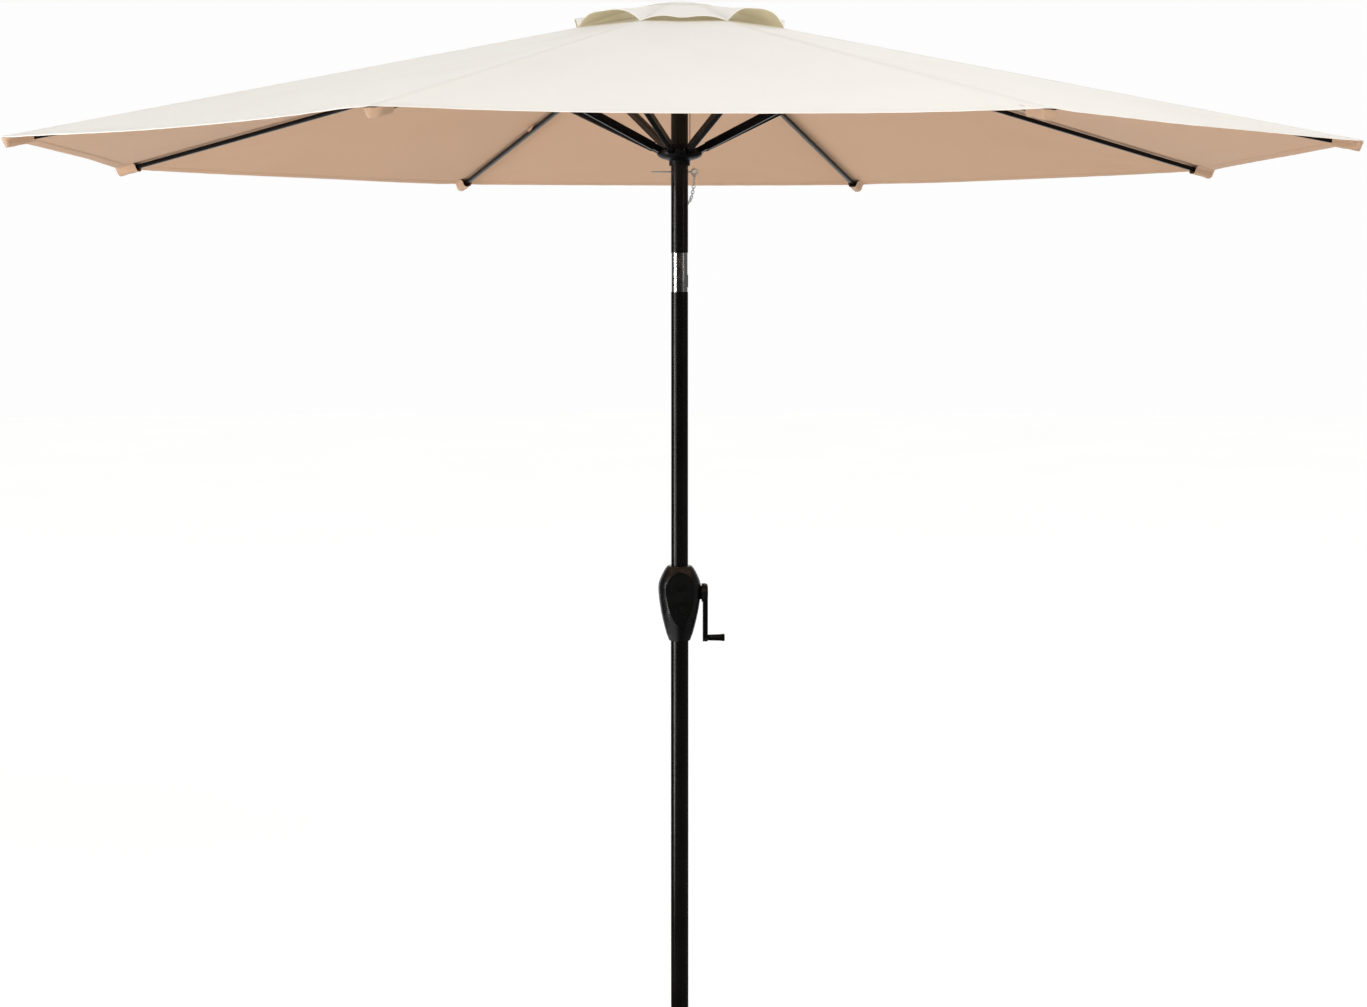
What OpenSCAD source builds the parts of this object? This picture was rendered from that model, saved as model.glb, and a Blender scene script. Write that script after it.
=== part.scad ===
// Crank-lift patio umbrella, eight ribs, tilting pole head, no stand.
// Millimetres. The origin is the centre of the pole's foot, +Z is up.
// The crank handle is on the +X side and the canopy tips towards +Y.

/* [Canopy] */
// Distance from the pole's axis to a canopy corner
canopy_r = 1450; // [1300:10:1500]
// Height of the canopy corners above the foot
rim_z = 2118; // [2100:1:2130]
// Height at which the rib lines of the cloth would meet on the axis
peak_z = 2436.5; // [2420:0.5:2440]
// Height of the vent flap's crown, the highest point
crown_z = 2450; // [2446:1:2456]
// Thickness of the cloth solids
cloth_t = 1; // [0.8:0.1:2]
// How far the hem is drawn in halfway between two ribs
hem_in = 28; // [0:1:60]
// How far the cloth sags halfway between two ribs
cloth_sag = 12; // [0:1:15]
// Distance from the axis to a corner of the vent flap
flap_r = 240; // [200:5:280]
// Height of the arches along the vent flap's edge
flap_arch = 30; // [10:1:40]
// Distance from the axis to the canopy's edge under the vent flap
vent_r = 120; // [100:5:150]

/* [Ribs and struts] */
// Width of a rib or strut
rib_w = 12; // [10:1:14]
// Height of a rib
rib_h = 10; // [9:1:12]
// Height of a strut
strut_h = 18; // [14:1:18]
// Wall thickness of a rib or strut
rib_wall = 1.2; // [0.8:0.1:1.5]
// Distance from the axis to the rib pivots on the hub
hub_pivot_r = 30; // [29:0.5:32]
// Vertical distance from the cloth line down to the rib's centreline
rib_drop = 12; // [12:0.5:14]
// Distance along a rib from its pivot to the strut bracket
bracket_s = 416; // [400:4:432]
// Distance from a rib's centreline down to the strut pivot
bracket_drop = 20; // [19:0.5:22]
// Diameter of the hinge pins of the ribs
hinge_d = 4; // [3:0.5:5]

/* [Pole] */
// Outer diameter of the upper and middle poles
pole_d = 38; // [36:0.5:38]
// Wall thickness of the upper and middle poles
pole_wall = 1.5; // [1:0.1:1.5]
// Outer diameter of the lower pole
lower_d = 40; // [40:0.5:42]
// Height of the lower pole
lower_h = 1040; // [1000:10:1040]
// Height of the tilt joint's lower edge
tilt_z0 = 1819; // [1810:1:1825]
// Height of the tilt joint's upper edge
tilt_z1 = 1905; // [1900:1:1910]
// Largest tilt of the canopy
tilt_max = 30; // [15:1:30]

/* [Runner] */
// Distance from the axis to the strut pivots on the runner
runner_pivot_r = 40; // [39:0.5:41]
// Height of the strut pivots on the runner
runner_pivot_z = 2126; // [2120:1:2130]
// Radius of the runner's flange
flange_r = 48.4; // [47:0.1:50]

/* [Lock pin] */
// Diameter of the lock pin
lock_d = 4; // [3:0.5:4]
// Height of the lock pin
lock_z = 2082; // [2078:1:2083]
// Length of the lock pin beyond the axis, on the side of its tip
lock_tail = 64; // [50:1:66]

/* [Crank] */
// Height of the crank's axis
crank_z = 1148; // [1146:1:1150]
// Distance from the crank's axis to the grip's axis
crank_throw = 102; // [90:1:104]
// Distance from the pole's axis to the outer end of the grip
grip_x1 = 101; // [95:1:101]
// Radius of the cord drum's barrel
drum_r = 10.1; // [10:0.1:11]

/* [Hidden] */
RIBS = [1:8];
$fn = 64;

// Clearances: a sliding fit, a running fit and plain air
slide_c = 0.05;
run_c = 0.08;
air = 0.3;

// Canopy geometry. Ribs stand at 22.5, 67.5 and so on round the pole.
half_gore = 22.5;
slope = atan((peak_z - rim_z) / canopy_r);
gore_slope = atan((peak_z - rim_z) / (canopy_r * cos(half_gore)));
gore_len = canopy_r * cos(half_gore) / cos(gore_slope);
half_rim = canopy_r * sin(half_gore);
hub_pivot_z = peak_z - hub_pivot_r * tan(slope) - rib_drop;
rib_end = (canopy_r - 10 - hub_pivot_r) / cos(slope);
tip_len = 14;
tongue_len = 24;
tongue_w = 6;
tongue_h = 14;
plate_t = 2;

// Strut geometry, from the bracket's pivot to the runner's pivot
bracket_r = hub_pivot_r + bracket_s * cos(slope) - bracket_drop * sin(slope);
bracket_z = hub_pivot_z - bracket_s * sin(slope) - bracket_drop * cos(slope);
strut_len = norm([bracket_r - runner_pivot_r, bracket_z - runner_pivot_z]);
strut_slope = atan2(bracket_z - runner_pivot_z, bracket_r - runner_pivot_r);
eye_w = 8;
eye_len = 26;

// Pole and tilt joint
pole_r = pole_d / 2;
bore_r = pole_r - pole_wall;
lower_bore_r = pole_r + slide_c;
pole_top = 2430;
plug_h = 14;
pole_insert = 60;
through = 30;
tilt_pivot_z = tilt_z1 - 27;
sleeve_r = 18.2;
sleeve_bore = 16.2;
tilt_pin_r = 3;
knuckle_w = 24;
button_z = tilt_z0 + 24;
button_r = 6;
tongue_r = sleeve_bore - air;

// Lift cord: it climbs inside the pole, turns over the pulley and drops to the runner
cord_r = 1;
cord_angle = -17;
pulley_z = 2310;
pulley_x = 15;
pulley_groove = 8.5;
pulley_pin_r = 1.5;
cord_y = -(drum_r + cord_r);
collar_top = 2142;
axle_r = 5;
arm_x0 = 52;
arm_x1 = 63;

// Points of the cloth. v runs from the middle of a gore (0) to a rib (1), s from the axis (0) to the rim (1).
function gore_point(s, v, lift = 0) =
    let (
        a = gore_len * s - hem_in * (1 - v * v) * pow(s, 4),
        d = lift - cloth_sag * (1 - v * v) * s * s
    )
    [a * cos(gore_slope) + d * sin(gore_slope), v * s * half_rim,
     peak_z - a * sin(gore_slope) + d * cos(gore_slope)];

// Points of the vent flap, which climbs from its tacked corners to the crown and arches between them
function flap_point(s, v, lift = 0) =
    let (
        r = s * flap_r,
        edge_z = peak_z - flap_r * tan(slope) + 4,
        arch = flap_arch * pow(s, 3) * (1 - pow(v, 4))
    )
    [r * cos(half_gore) + 8 * pow(s, 4) * (1 - v * v), v * r * sin(half_gore),
     edge_z + (crown_z - edge_z) * (1 - pow(s, 1.5)) + arch * (1 - 0.3 * s) + lift];

// Turns a point of the gore on the left or right of a rib into the rib's own frame, where +X is along the rib
function spin(p, a) = [p.x * cos(a) - p.y * sin(a), p.x * sin(a) + p.y * cos(a), p.z];
function beside_rib(p, side) = spin([p.x, -side * p.y, p.z], side * half_gore);

module at_rib(i) {
    rotate([0, 0, half_gore + 45 * (i - 1)])
        children();
}

// The frame of a rib: +X along its centreline from the hub pivot, +Z square to it
module along_rib() {
    translate([hub_pivot_r, 0, hub_pivot_z])
        rotate([0, slope, 0])
            children();
}

module x_cylinder(r, x0, x1) {
    translate([x0, 0, 0])
        rotate([0, 90, 0])
            cylinder(r = r, h = x1 - x0);
}

module y_cylinder(r, y0, y1) {
    translate([0, y1, 0])
        rotate([90, 0, 0])
            cylinder(r = r, h = y1 - y0);
}

module tube(r_out, r_in, z0, z1) {
    translate([0, 0, z0])
        difference() {
            cylinder(r = r_out, h = z1 - z0);
            translate([0, 0, -1])
                cylinder(r = r_in, h = z1 - z0 + 2);
        }
}

module block(x0, x1, y0, y1, z0, z1) {
    translate([x0, y0, z0])
        cube([x1 - x0, y1 - y0, z1 - z0]);
}

// A rod between two points
module rod(a, b, r) {
    d = b - a;
    translate(a)
        rotate([0, atan2(norm([d.x, d.y]), d.z), atan2(d.y, d.x)])
            cylinder(r = r, h = norm(d), $fn = 16);
}

// A rounded rectangle without offset(), so that its walls stay true
module rounded_rect(w, h, r) {
    square([w - 2 * r, h], center = true);
    square([w, h - 2 * r], center = true);
    for (x = [-1, 1], y = [-1, 1])
        translate([x * (w / 2 - r), y * (h / 2 - r)])
            circle(r = r, $fn = 24);
}

// A rolled steel channel tube of height h along +X
module rib_tube(x0, x1, h) {
    translate([x0, 0, 0])
        rotate([90, 0, 90])
            linear_extrude(height = x1 - x0)
                difference() {
                    rounded_rect(rib_w, h, 3);
                    rounded_rect(rib_w - 2 * rib_wall, h - 2 * rib_wall, 3 - rib_wall);
                }
}

// A closed cloth solid over one rib's sector, from rows of points that a function gives
module cloth_sector(rows, point_of) {
    spread = [0.002, 0.25, 0.5, 0.75];
    left = [for (v = spread) [-1, v]];
    right = [for (j = [3:-1:0]) [1, spread[j]]];
    cols = concat(left, [[-1, 1]], right);
    n = len(cols);
    m = len(rows);
    k = m * n;
    end = (m - 1) * n;
    top = [for (s = rows, c = cols) beside_rib(point_of(s, c[1], 0), c[0])];
    under = [for (s = rows, c = cols) beside_rib(point_of(s, c[1], -cloth_t), c[0])];
    cells = [for (i = [0:m - 2], j = [0:n - 2]) i * n + j];
    top_faces = [for (a = cells, f = quad(a, a + 1, a + n + 1, a + n)) f];
    under_faces = [for (a = cells, f = quad(k + a + n, k + a + n + 1, k + a + 1, k + a)) f];
    inner = [for (j = [0:n - 2], f = quad(k + j, k + j + 1, j + 1, j)) f];
    outer = [for (a = [end:end + n - 2], f = quad(a, a + 1, k + a + 1, k + a)) f];
    first = [for (a = [0:n:end - n], f = quad(a, a + n, k + a + n, k + a)) f];
    last = [for (a = [n - 1:n:end - 1], f = quad(k + a, k + a + n, a + n, a)) f];
    polyhedron(
        points = concat(top, under),
        faces = concat(top_faces, under_faces, inner, outer, first, last)
    );
}

function quad(a, b, c, d) = [[a, b, c], [a, c, d]];

// ---- Pole ----

module pole_lower() {
    color("#0b0a0a")
        tube(lower_d / 2, lower_bore_r, 0, lower_h);
}

module pole_foot_plug() {
    color("#161616")
        cylinder(r = lower_bore_r - 0.15, h = plug_h);
}

module pole_middle() {
    color("#1d1b15")
        difference() {
            tube(pole_r, bore_r, lower_h - pole_insert, tilt_z0);
            translate([0, 0, crank_z])
                x_cylinder(axle_r + run_c, -through, through);
        }
}

module pole_upper() {
    spare_hole_angle = -133;
    spare_hole_z = lock_z - 27;
    spare_hole_r = 2;
    slot_w = 7.6;
    slot_h = 28;
    color("#151310")
        difference() {
            tube(pole_r, bore_r, tilt_z1, pole_top);
            translate([0, 0, lock_z])
                x_cylinder(lock_d / 2 + 0.1, -through, through);
            rotate([0, 0, spare_hole_angle])
                translate([0, 0, spare_hole_z])
                    x_cylinder(spare_hole_r, bore_r / 2, through);
            rotate([0, 0, cord_angle])
                block(5, through, -slot_w / 2, slot_w / 2, pulley_z - slot_h / 2, pulley_z + slot_h / 2);
            at_pulley()
                y_cylinder(pulley_pin_r, -through, through);
        }
}

// ---- Tilt joint ----

// The rear of the sleeve is open, where the knuckle and the upper pole's edge tip over it
module tilt_sleeve() {
    spigot_r = 15;
    spigot_len = 40;
    collar_h = 3;
    color("silver")
        difference() {
            union() {
                tube(sleeve_r, sleeve_bore, tilt_z0, tilt_z1 - air);
                tube(bore_r - slide_c, spigot_r, tilt_z0 - spigot_len, tilt_z0);
                tube(sleeve_r, spigot_r, tilt_z0, tilt_z0 + collar_h);
            }
            translate([0, 0, tilt_pivot_z])
                x_cylinder(tilt_pin_r, -through, through);
            block(-knuckle_w / 2 - 0.4, knuckle_w / 2 + 0.4, 0, through, tilt_pivot_z - 6, tilt_z1 + 1);
            for (part = [1:4])
                translate([0, 0, tilt_pivot_z])
                    rotate([-tilt_max * part / 4, 0, 0])
                        block(-through, through, 0, 40, tilt_z1 - tilt_pivot_z - air, 60);
            translate([0, 0, button_z])
                button_outline(button_r + 0.4, 0, through);
        }
}

// The oval of the tilt button, as a prism along X
module button_outline(r, x0, x1) {
    straight = 8;
    for (z = [-straight, straight])
        translate([0, 0, z])
            x_cylinder(r, x0, x1);
    block(x0, x1, -r, r, -straight, straight);
}

module tilt_button() {
    color("#1a1a1a")
        translate([0, 0, button_z])
            intersection() {
                union() {
                    button_outline(button_r, 12, through);
                    button_outline(button_r + 2, 11, 13.6);
                }
                translate([0, 0, -30])
                    cylinder(r = pole_r - 0.1, h = 60);
            }
}

module tilt_pin() {
    color("silver")
        translate([0, 0, tilt_pivot_z])
            x_cylinder(tilt_pin_r, 0.2 - sleeve_r, sleeve_r - 0.2);
}

// The knuckle's tongue ends in a ball, so that it turns inside the sleeve at every tilt
module tilt_knuckle() {
    half = knuckle_w / 2;
    ball = [for (x = [-half:half / 6:half]) [sqrt(pow(tongue_r, 2) - x * x), x]];
    neck_r = 13;
    plug_len = 40;
    color("gray")
        difference() {
            union() {
                translate([0, 0, tilt_pivot_z])
                    rotate([0, 90, 0])
                        rotate_extrude()
                            polygon(concat([[0, -half]], ball, [[0, half]]));
                intersection() {
                    block(-half, half, -through, through, tilt_pivot_z, tilt_z1);
                    translate([0, 0, tilt_pivot_z])
                        cylinder(r = tongue_r, h = tilt_z1 - tilt_pivot_z);
                }
                translate([0, 0, tilt_z1])
                    cylinder(r = bore_r - slide_c, h = plug_len);
            }
            translate([0, 0, tilt_z1 + 6])
                cylinder(r = neck_r, h = plug_len);
            translate([0, 0, tilt_pivot_z])
                x_cylinder(tilt_pin_r + run_c, -through, through);
            block(-2.5, 2.5, -through, cord_y + 3, tilt_z0, tilt_z1 + plug_len + 1);
        }
}

// ---- Hub ----

module top_hub() {
    color("#101010")
        difference() {
            tube(38, pole_r + slide_c, hub_pivot_z - 13, pole_top);
            for (i = RIBS)
                at_rib(i) {
                    block(22.6, 60, -tongue_w / 2 - 0.4, tongue_w / 2 + 0.4, pole_top - 60, pole_top + 10);
                    translate([hub_pivot_r, 0, hub_pivot_z])
                        y_cylinder(hinge_d / 2, -8, 8);
                }
        }
}

module hub_pins() {
    color("silver")
        for (i = RIBS)
            at_rib(i)
                translate([hub_pivot_r, 0, hub_pivot_z])
                    y_cylinder(hinge_d / 2, -8, 8);
}

module hub_cap() {
    color("#101010")
        translate([0, 0, pole_top])
            rotate_extrude()
                polygon([
                    [0, -12], [bore_r - slide_c, -12], [bore_r - slide_c, 0],
                    [40, 0], [40, 2], [30, 5], [0, 8]
                ]);
}

module top_pulley() {
    groove = pulley_groove - cord_r;
    color("white")
        at_pulley()
            rotate([90, 0, 0])
                rotate_extrude()
                    polygon([
                        [1.6, -3], [groove + 1.8, -3], [groove, -0.8],
                        [groove, 0.8], [groove + 1.8, 3], [1.6, 3]
                    ]);
}

module at_pulley() {
    rotate([0, 0, cord_angle])
        translate([pulley_x, 0, pulley_z])
            children();
}

// The pulley's pin is pressed into the pole's wall beside the slot
module pulley_pin() {
    color("silver")
        at_pulley()
            y_cylinder(pulley_pin_r - 0.02, -11, 11);
}

// ---- Lift cord ----

module lift_cord_lower() {
    color("#8a8a8a")
        rod([0, cord_y, crank_z], [0, cord_y, tilt_pivot_z - 17], cord_r);
}

module lift_cord_upper() {
    start = [0, cord_y, tilt_pivot_z + 17];
    inner = pulley_x - pulley_groove;
    color("#8a8a8a") {
        rod(start, [inner * cos(cord_angle), inner * sin(cord_angle), pulley_z - 0.3], cord_r);
        at_pulley()
            rotate([90, 0, 0])
                rotate_extrude(angle = 180, $fn = 48)
                    translate([pulley_groove, 0])
                        circle(r = cord_r, $fn = 16);
    }
}

module lift_cord_drop() {
    outer = pulley_x + pulley_groove;
    color("#8a8a8a")
        rotate([0, 0, cord_angle])
            translate([outer, 0, collar_top])
                cylinder(r = cord_r, h = pulley_z - collar_top, $fn = 16);
}

// ---- Crank ----

// Outline of the housing's turned sides, from the bottom to the top
housing_z = [
    1041, 1048, 1056, 1072, 1088, 1104, 1120, 1134, 1148,
    1160, 1168, 1175, 1182, 1190, 1198, 1205, 1209
];
housing_r = [24, 26.5, 29.5, 34, 38, 41.3, 44, 46, 47.4, 47.8, 47.2, 45.5, 42.8, 39.2, 35, 30.5, 27];
housing_top = 1209;
housing_depth = 35;

// The housing's solid: a turned body cut flat at the front and back
module housing_body(t) {
    n = len(housing_z) - 1;
    z0 = housing_z[0] + t;
    z1 = housing_top - t;
    depth = housing_depth - t;
    side = [for (i = [0:n]) [housing_r[i] - t, i == 0 ? z0 : i == n ? z1 : housing_z[i]]];
    intersection() {
        rotate_extrude()
            polygon(concat([[0, z0]], side, [[0, z1]]));
        block(-60, 60, -depth, depth, 1000, 1300);
    }
}

// Each screw's place across and up, and how far its boss reaches to the front and back
SCREWS = [[-26, 1176, 33.5], [26, 1176, 33.5], [-25, 1090, 27.5], [25, 1090, 27.5]];

module housing_shell(side) {
    wall = 2.5;
    difference() {
        union() {
            difference() {
                housing_body(0);
                housing_body(wall);
            }
            for (s = SCREWS)
                translate([s.x, 0, s.y])
                    y_cylinder(4, -s.z, s.z);
        }
        block(-60, 60, side > 0 ? -60 : 0, side > 0 ? 0 : 60, 1000, 1300);
        translate([0, 0, 1000])
            cylinder(r = pole_r + slide_c, h = 300);
        translate([0, 0, crank_z])
            x_cylinder(axle_r + 0.4, 0, 60);
        for (s = SCREWS)
            translate([s.x, 0, s.y]) {
                y_cylinder(1.6, -20, 30);
                y_cylinder(3.4, 21, 60);
            }
    }
}

module crank_housing_front() {
    color("#0c0c0c")
        housing_shell(-1);
}

module crank_housing_rear() {
    color("#0c0c0c")
        housing_shell(1);
}

module housing_screws() {
    color("silver")
        for (s = SCREWS)
            translate([s.x, 0, s.y]) {
                y_cylinder(1.5, -18, 21);
                y_cylinder(3, 21, 23);
            }
}

module crank_axle() {
    color("silver")
        translate([0, 0, crank_z])
            x_cylinder(axle_r, -21.5, 58);
}

module cord_drum() {
    color("gray")
        translate([0, 0, crank_z])
            rotate([0, 90, 0])
                rotate_extrude()
                    polygon([
                        [axle_r, -9], [14.2, -9], [14.2, -8], [drum_r, -8],
                        [drum_r, 8], [14.2, 8], [14.2, 9], [axle_r, 9]
                    ]);
}

module crank_arm() {
    hub_r = 21;
    arm_w = 18;
    color("#0a0a0a")
        difference() {
            union() {
                translate([0, 0, crank_z])
                    rotate([0, 90, 0])
                        rotate_extrude()
                            polygon([[0, arm_x0 - 2.5], [hub_r, arm_x0 - 2.5], [hub_r, arm_x1 - 5],
                                     [hub_r - 1.5, arm_x1 - 1.5], [hub_r - 5, arm_x1], [0, arm_x1]]);
                block(arm_x0, arm_x1, -arm_w / 2, arm_w / 2, crank_z - crank_throw, crank_z);
                translate([0, 0, crank_z - crank_throw])
                    x_cylinder(arm_w / 2, arm_x0, arm_x1);
            }
            translate([0, 0, crank_z])
                x_cylinder(axle_r, 0, 58);
            translate([0, 0, crank_z - crank_throw])
                x_cylinder(2.5, arm_x0 + 2, 70);
        }
}

module grip_pin() {
    color("silver")
        translate([0, 0, crank_z - crank_throw]) {
            x_cylinder(2.5, arm_x0 + 2, grip_x1 - 6);
            x_cylinder(4, grip_x1 - 6, grip_x1 - 4);
        }
}

module crank_grip() {
    x0 = arm_x1 + air;
    color("#0a0a0a")
        translate([0, 0, crank_z - crank_throw])
            rotate([0, 90, 0])
                rotate_extrude()
                    polygon([
                        [2.5 + run_c, x0], [6.2, x0], [6.8, x0 + 2],
                        [7.4, grip_x1 - 12], [8.5, grip_x1 - 2], [7.8, grip_x1],
                        [4.4, grip_x1], [4.4, grip_x1 - 6 - run_c], [2.5 + run_c, grip_x1 - 6 - run_c]
                    ]);
}

// ---- Runner ----

// Two clearance slots along X let the whole runner pass the lock pin and its ring
module runner() {
    collar_r = 23;
    z0 = runner_pivot_z - 31;
    color("#0e0e0e")
        difference() {
            rotate_extrude()
                polygon([
                    [pole_r + 0.4, z0], [collar_r, z0], [collar_r, z0 + 12], [flange_r - 1.4, z0 + 25.5],
                    [flange_r, z0 + 28], [flange_r, z0 + 36], [flange_r - 3, z0 + 39], [27, z0 + 41],
                    [27, collar_top], [pole_r + 0.4, collar_top]
                ]);
            for (i = RIBS)
                at_rib(i)
                    block(30, 60, -rib_w / 2 - 0.8, rib_w / 2 + 0.8, z0 - 1, collar_top + 1);
            block(-60, 42.3, -3.5, 3.5, z0 - 1, collar_top + 1);
        }
}

// ---- Lock pin ----

module lock_pin() {
    tip = 10;
    color("silver")
        translate([0, 0, lock_z]) {
            x_cylinder(lock_d / 2, tip - lock_tail, 25.4);
            translate([tip - lock_tail, 0, 0])
                rotate([0, -90, 0])
                    cylinder(r1 = lock_d / 2, r2 = 0.8, h = tip);
        }
}

RING = [33, 0, lock_z];
ring_r = 6.3;
ring_t = 2.1;

module pin_ring() {
    color("silver")
        translate(RING)
            rotate([90, 0, 0])
                rotate_extrude()
                    translate([ring_r, 0])
                        circle(r = ring_t, $fn = 24);
}

// The chain's run, from the ring down beside the pole and up behind it
CHAIN = [
    [33, 0, lock_z - 7.2], [32.4, 0.6, lock_z - 22], [30.6, 2.5, lock_z - 36], [28, 6.2, lock_z - 50],
    [24.4, 11, lock_z - 61], [18.9, 16.4, lock_z - 67.5], [12.1, 21.8, lock_z - 69], [5.1, 24.3, lock_z - 64],
    [0, 24.6, lock_z - 54]
];

// Links of a round-link chain at even steps along its run, each turned a quarter from the last
link_r = 4;
link_t = 0.8;
link_pitch = 5.9;
leg_len = [for (i = [1:len(CHAIN) - 1]) norm(CHAIN[i] - CHAIN[i - 1])];
function run_len(n) = n == 0 ? 0 : leg_len[n - 1] + run_len(n - 1);
function leg_at(d, i = 0) = (i == len(leg_len) - 1 || run_len(i + 1) > d) ? i : leg_at(d, i + 1);

module pin_chain() {
    links = floor(run_len(len(leg_len)) / link_pitch);
    color("silver")
        for (n = [0:links]) {
            d = n * link_pitch;
            i = leg_at(d);
            along = (CHAIN[i + 1] - CHAIN[i]) / leg_len[i];
            translate(CHAIN[i] + along * (d - run_len(i)))
                rotate([0, acos(along.z), atan2(along.y, along.x)])
                    rotate([90, 0, 90 * (n % 2)])
                        rotate_extrude()
                            translate([link_r, 0])
                                circle(r = link_t, $fn = 16);
        }
}

// ---- Ribs, struts and cloth ----

// The plate that closes a rib or strut tube of height h at x
module end_plate(x, h) {
    block(x, x + plate_t, 1 - rib_w / 2, rib_w / 2 - 1, 1 - h / 2, h / 2 - 1);
}

module rib(i) {
    color("#121212")
        at_rib(i)
            along_rib()
                difference() {
                    union() {
                        rib_tube(tongue_len, rib_end - tip_len, rib_h);
                        block(0, tongue_len + 1, -tongue_w / 2, tongue_w / 2, -rib_h / 2, rib_h / 2);
                        y_cylinder(tongue_h / 2, -tongue_w / 2, tongue_w / 2);
                        end_plate(tongue_len, rib_h);
                    }
                    y_cylinder(hinge_d / 2 + run_c, -20, 20);
                }
}

// The strut bracket with its pivot pin, and the cap on the rib's outer end
module rib_fittings(i) {
    reach = 15;
    ear = 3.2;
    plate_z = -rib_h / 2 - 3;
    color("#1a1a1a")
        at_rib(i)
            along_rib() {
                difference() {
                    union() {
                        block(bracket_s - reach, bracket_s + reach, -8, 8, plate_z, rib_h / 2);
                        for (side = [-1, 1])
                            translate([bracket_s, side * (8 - ear / 2), -bracket_drop])
                                y_cylinder(7.5, -ear / 2, ear / 2);
                        for (side = [-1, 1])
                            translate([bracket_s - 7.5, side > 0 ? 8 - ear : -8, -bracket_drop])
                                cube([15, ear, bracket_drop + plate_z + 1]);
                    }
                    block(bracket_s - 30, bracket_s + 30, -rib_w / 2, rib_w / 2, -rib_h / 2, rib_h);
                    translate([bracket_s, 0, -bracket_drop])
                        y_cylinder(hinge_d / 2, -20, 20);
                }
                translate([bracket_s, 0, -bracket_drop])
                    y_cylinder(hinge_d / 2 - 0.02, -8.6, 8.6);
                translate([rib_end - tip_len, 0, 0])
                    rotate([90, 0, 90])
                        linear_extrude(height = tip_len)
                            rounded_rect(rib_w, rib_h, 3);
            }
}

// A strut lies along +X from its outer eye, in the frame of its own slope
module strut(i) {
    eye_r = 7;
    color("#121212")
        at_rib(i)
            translate([bracket_r, 0, bracket_z])
                rotate([0, 180 - strut_slope, 0])
                    difference() {
                        union() {
                            rib_tube(eye_len, strut_len - eye_len, strut_h);
                            for (x = [0, strut_len])
                                translate([x, 0, 0])
                                    y_cylinder(eye_r, -eye_w / 2, eye_w / 2);
                            for (x = [0, strut_len - eye_len])
                                block(x, x + eye_len, -eye_w / 2, eye_w / 2, -eye_r, eye_r);
                            for (x = [eye_len, strut_len - eye_len - plate_t])
                                end_plate(x, strut_h);
                        }
                        for (x = [0, strut_len])
                            translate([x, 0, 0])
                                y_cylinder(hinge_d / 2 + run_c, -20, 20);
                    }
}

// One rib's share of the canopy, with its share of the vent flap above it
module canopy_panel(i) {
    color("#f0ede6")
        at_rib(i) {
            cloth_sector([vent_r / canopy_r, 0.25, 0.45, 0.65, 0.8, 0.92, 1],
                         function (s, v, lift) gore_point(s, v, lift));
            cloth_sector([0.03, 0.2, 0.4, 0.6, 0.8, 0.9, 1],
                         function (s, v, lift) flap_point(s, v, lift));
        }
}

pole_lower();
pole_foot_plug();
pole_middle();
crank_housing_front();
crank_housing_rear();
housing_screws();
tilt_sleeve();
tilt_pin();
lift_cord_lower();
crank_axle();
cord_drum();
crank_arm();
grip_pin();
crank_grip();
pole_upper();
tilt_knuckle();
top_hub();
hub_cap();
hub_pins();
top_pulley();
pulley_pin();
lift_cord_upper();
lift_cord_drop();
tilt_button();
runner();
lock_pin();
pin_ring();
pin_chain();
rib(1);  // rib_1
rib(2);  // rib_2
rib(3);  // rib_3
rib(4);  // rib_4
rib(5);  // rib_5
rib(6);  // rib_6
rib(7);  // rib_7
rib(8);  // rib_8
rib_fittings(1);  // rib_fittings_1
rib_fittings(2);  // rib_fittings_2
rib_fittings(3);  // rib_fittings_3
rib_fittings(4);  // rib_fittings_4
rib_fittings(5);  // rib_fittings_5
rib_fittings(6);  // rib_fittings_6
rib_fittings(7);  // rib_fittings_7
rib_fittings(8);  // rib_fittings_8
strut(1);  // strut_1
strut(2);  // strut_2
strut(3);  // strut_3
strut(4);  // strut_4
strut(5);  // strut_5
strut(6);  // strut_6
strut(7);  // strut_7
strut(8);  // strut_8
canopy_panel(1);  // canopy_panel_1
canopy_panel(2);  // canopy_panel_2
canopy_panel(3);  // canopy_panel_3
canopy_panel(4);  // canopy_panel_4
canopy_panel(5);  // canopy_panel_5
canopy_panel(6);  // canopy_panel_6
canopy_panel(7);  // canopy_panel_7
canopy_panel(8);  // canopy_panel_8
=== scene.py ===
import math

import bpy
from mathutils import Matrix, Vector, noise


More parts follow.
